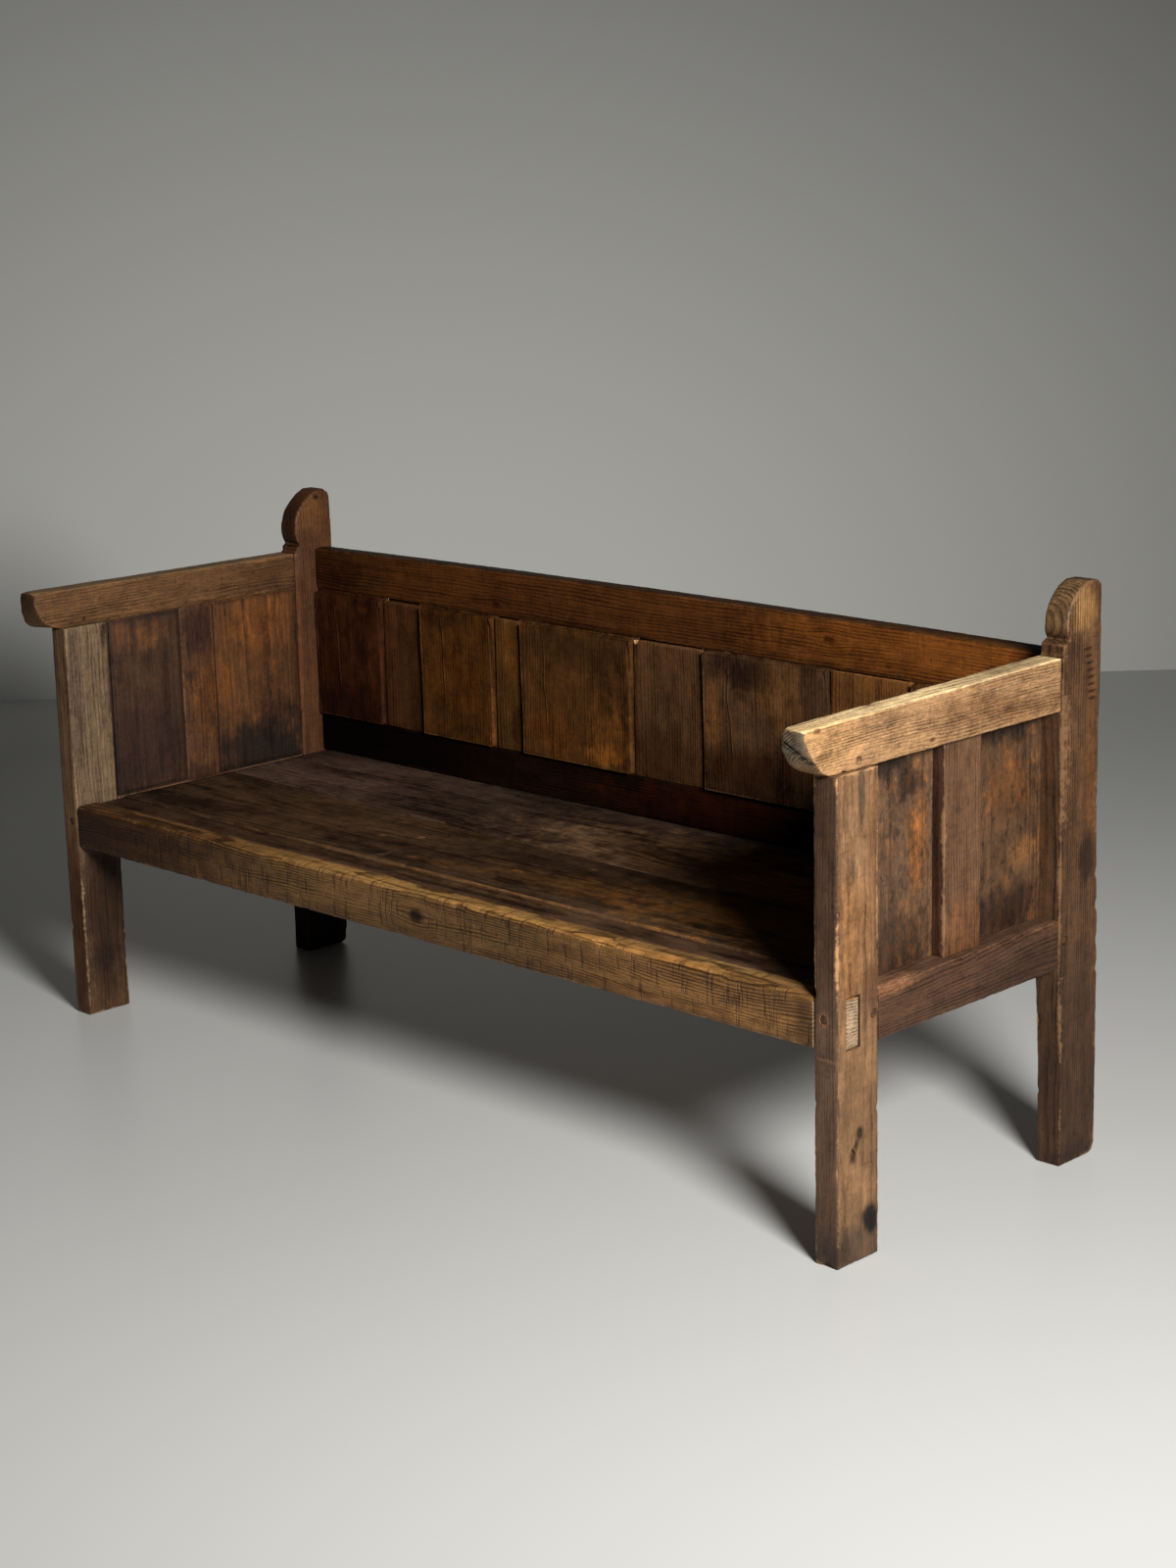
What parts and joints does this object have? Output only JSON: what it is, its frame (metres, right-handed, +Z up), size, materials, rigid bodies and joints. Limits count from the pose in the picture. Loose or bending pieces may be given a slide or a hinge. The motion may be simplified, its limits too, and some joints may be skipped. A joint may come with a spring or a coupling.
{
  "type": "bench",
  "caption": "Long joined wooden settle with a boarded seat, a low framed and panelled back, panelled arm sides and knobbed rear posts.",
  "frame": {"origin": "on the floor, under the middle of the outline", "axes": "+X along the seat to the sitter's left, -Y out of the front of the seat, +Z up"},
  "size_m": [1.9, 0.726, 0.9491],
  "materials": {
    "wood_posts": "worn and waxed",
    "wood_arms": "bleached and worn",
    "wood_rails": "worn and waxed",
    "wood_back_panels": "waxed",
    "wood_side_panels": "dry and stained",
    "wood_muntins": "worn and waxed",
    "wood_seat": "worn and scratched",
    "wood_inner": "dry and unfinished",
    "wood_pegs": "worn",
    "iron_nails": "rusted"
  },
  "bodies": {
    "root": {"arm_front_pegs": "wood_pegs", "arm_left": "wood_arms", "arm_rear_pegs": "wood_pegs", "arm_right": "wood_arms", "back_bottom_rail": "wood_rails", "back_muntin_1": "wood_muntins", "back_muntin_2": "wood_muntins", "back_muntin_3": "wood_muntins", "back_muntin_4": "wood_muntins", "back_panel_1": "wood_back_panels", "back_panel_2": "wood_back_panels", "back_panel_3": "wood_back_panels", "back_panel_4": "wood_back_panels", "back_panel_5": "wood_back_panels", "back_rail_pegs": "wood_pegs", "back_top_rail": "wood_rails", "front_post_left": "wood_posts", "front_post_right": "wood_posts", "front_rail_pegs": "wood_pegs", "front_seat_rail": "wood_rails", "ledger_nails": "iron_nails", "rear_post_left": "wood_posts", "rear_post_right": "wood_posts", "rear_seat_rail": "wood_inner", "seat_bearer_left": "wood_inner", "seat_bearer_middle": "wood_inner", "seat_bearer_right": "wood_inner", "seat_board_front": "wood_seat", "seat_board_middle": "wood_seat", "seat_board_rear": "wood_seat", "seat_ledger_left": "wood_inner", "seat_ledger_right": "wood_inner", "side_muntin_left": "wood_muntins", "side_muntin_right": "wood_muntins", "side_panel_left_front": "wood_side_panels", "side_panel_left_rear": "wood_side_panels", "side_panel_right_front": "wood_side_panels", "side_panel_right_rear": "wood_side_panels", "side_rail_left": "wood_rails", "side_rail_pegs": "wood_pegs", "side_rail_right": "wood_rails"}
  },
  "joints": []
}
